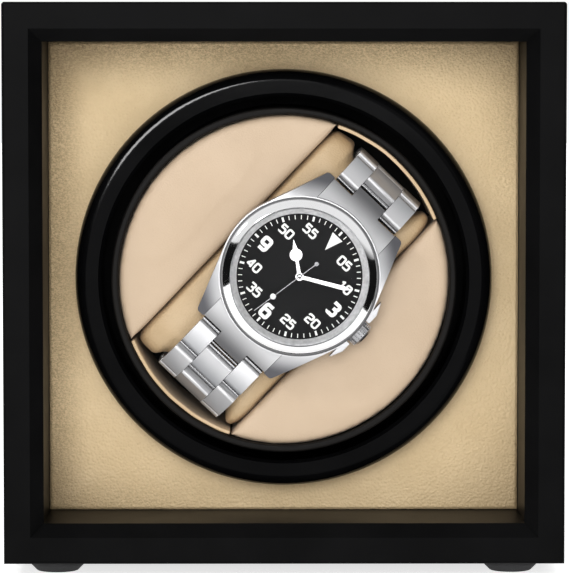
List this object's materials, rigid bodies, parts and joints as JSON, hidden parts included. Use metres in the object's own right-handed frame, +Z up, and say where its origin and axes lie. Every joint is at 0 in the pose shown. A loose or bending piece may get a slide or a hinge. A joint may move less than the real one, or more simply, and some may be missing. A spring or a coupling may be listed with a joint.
{
  "type": "watch winder",
  "caption": "Square open-fronted box with a beige leather panel and a geared turning drum that holds a wristwatch on a slide-out cushion.",
  "frame": {"origin": "on the ground under the middle of the case, at the feet's soles", "axes": "+Z up, the open front faces -Y, +X to the right of someone looking at the front; the drum turns about +Y"},
  "size_m": [0.142, 0.15, 0.1452],
  "materials": {
    "black_lacquer": "black lacquered fibreboard, semi-gloss",
    "beige_leather": "beige grained imitation leather, matt",
    "pad_cover": "beige smooth padded leather",
    "cushion_cover": "beige smooth leather over foam",
    "liner_cover": "beige leather, thin",
    "bare_board": "bare fibreboard",
    "black_trim": "black satin to gloss moulding",
    "drum_grey": "dark grey moulding",
    "rear_black": "black textured moulding",
    "foot_rubber": "black rubber",
    "screw_zinc": "zinc plated",
    "plate_steel": "grey painted sheet steel",
    "brass": "plain brass",
    "gear_white": "white acetal",
    "bronze_bush": "sintered bronze",
    "steel": "plain steel",
    "motor_can": "bright can",
    "board_green": "green circuit board",
    "component_black": "black and white components",
    "wire_red": "insulated wire",
    "control_black": "black moulding",
    "watch_steel": "brushed watch steel",
    "watch_polish": "polished steel",
    "crystal": "clear sapphire",
    "dial_black": "matt black dial",
    "hand_white": "white filled polished hands"
  },
  "bodies": {
    "case": {"shell_top": "black_lacquer", "shell_bottom": "black_lacquer", "shell_left": "black_lacquer", "shell_right": "black_lacquer", "front_panel_board": "bare_board", "front_panel_leather": "beige_leather", "glue_blocks": "bare_board", "bezel_ring": "black_trim", "rear_panel": "rear_black", "rear_panel_screws": "screw_zinc", "rubber_feet": "foot_rubber", "foot_screws": "screw_zinc", "mounting_plate": "plate_steel", "standoffs": "plate_steel", "machine_screws": "screw_zinc", "bearing_block": "gear_white", "spindle_bushes": "bronze_bush", "idler_axle": "steel", "idler_clip": "steel", "gear_motor": "motor_can", "circuit_board": "board_green", "board_parts": "component_black", "supply_socket": "control_black", "socket_pin": "brass", "mode_switch": "control_black", "power_switch": "control_black", "motor_lead": "wire_red", "control_leads": "wire_red"},
    "drum": {"drum_cup": "drum_grey", "drum_spindle": "steel", "hub_screw": "screw_zinc", "drive_pins": "steel", "drum_gear": "gear_white", "slot_liners": "liner_cover", "side_pad_upper": "pad_cover", "side_pad_lower": "pad_cover"},
    "compound": {"compound_gear": "gear_white"},
    "pinion": {"motor_pinion": "brass"},
    "cushion_with_watch": {"cushion": "cushion_cover", "watch_case": "watch_steel", "watch_case_back": "watch_steel", "watch_bezel": "watch_polish", "watch_crystal": "crystal", "watch_inner_ring": "watch_steel", "watch_dial": "dial_black", "watch_movement": "brass", "watch_end_links": "watch_steel", "bracelet_outer_links": "watch_steel", "bracelet_centre_links": "watch_steel", "bracelet_pins": "steel", "clasp_cover": "watch_steel", "clasp_blades": "watch_steel"},
    "hour_hand": {"watch_hour_hand": "hand_white"},
    "minute_hand": {"watch_minute_hand": "hand_white"},
    "second_hand": {"watch_second_hand": "hand_white"},
    "rotor": {"winding_rotor": "steel"},
    "crown_stem": {"watch_crown_stem": "steel"},
    "crown": {"watch_crown": "watch_polish"},
    "mode_knob": {"mode_knob": "control_black"},
    "rocker": {"power_rocker": "control_black"}
  },
  "joints": [
    {"name": "drum_spin", "type": "hinge", "parent": "case", "child": "drum", "pos_m": [0, 0, 0.0742], "axis": [0, 1, 0], "continuous": true},
    {"name": "compound_gear_spin", "type": "hinge", "parent": "case", "child": "compound", "pos_m": [-0.02212, 0, 0.05871], "axis": [0, 1, 0], "continuous": true},
    {"name": "motor_pinion_spin", "type": "hinge", "parent": "case", "child": "pinion", "pos_m": [-0.02212, 0, 0.03711], "axis": [0, 1, 0], "continuous": true},
    {"name": "cushion_slide", "type": "slide", "parent": "drum", "child": "cushion_with_watch", "axis": [0, -1, 0], "range_m": [0, 0.06]},
    {"name": "minute_hand_spin", "type": "hinge", "parent": "cushion_with_watch", "child": "minute_hand", "pos_m": [0.00393, -0.066, 0.07555], "axis": [0, 1, 0], "continuous": true},
    {"name": "hour_hand_spin", "type": "hinge", "parent": "cushion_with_watch", "child": "hour_hand", "pos_m": [0.00393, -0.066, 0.07555], "axis": [0, 1, 0], "continuous": true},
    {"name": "second_hand_spin", "type": "hinge", "parent": "cushion_with_watch", "child": "second_hand", "pos_m": [0.00393, -0.066, 0.07555], "axis": [0, 1, 0], "continuous": true},
    {"name": "rotor_swing", "type": "hinge", "parent": "cushion_with_watch", "child": "rotor", "pos_m": [0.00393, -0.0605, 0.07555], "axis": [0, 1, 0], "continuous": true},
    {"name": "crown_pull", "type": "slide", "parent": "cushion_with_watch", "child": "crown_stem", "axis": [0.7218, 0, -0.6921], "range_m": [0, 0.0012]},
    {"name": "crown_turn", "type": "hinge", "parent": "crown_stem", "child": "crown", "pos_m": [0.0193, -0.0629, 0.06081], "axis": [0.7218, 0, -0.6921], "continuous": true},
    {"name": "mode_knob_turn", "type": "hinge", "parent": "case", "child": "mode_knob", "pos_m": [0.028, 0.07, 0.0962], "axis": [0, -1, 0], "range_deg": [0, 90]},
    {"name": "rocker_tip", "type": "hinge", "parent": "case", "child": "rocker", "pos_m": [0.028, 0.0663, 0.0662], "axis": [1, 0, 0], "range_deg": [0, 20]}
  ],
  "couplings": [
    {"joint": "compound_gear_spin", "follows": "drum_spin", "ratio": -4},
    {"joint": "motor_pinion_spin", "follows": "drum_spin", "ratio": 12},
    {"joint": "hour_hand_spin", "follows": "minute_hand_spin", "ratio": 0.083333}
  ]
}
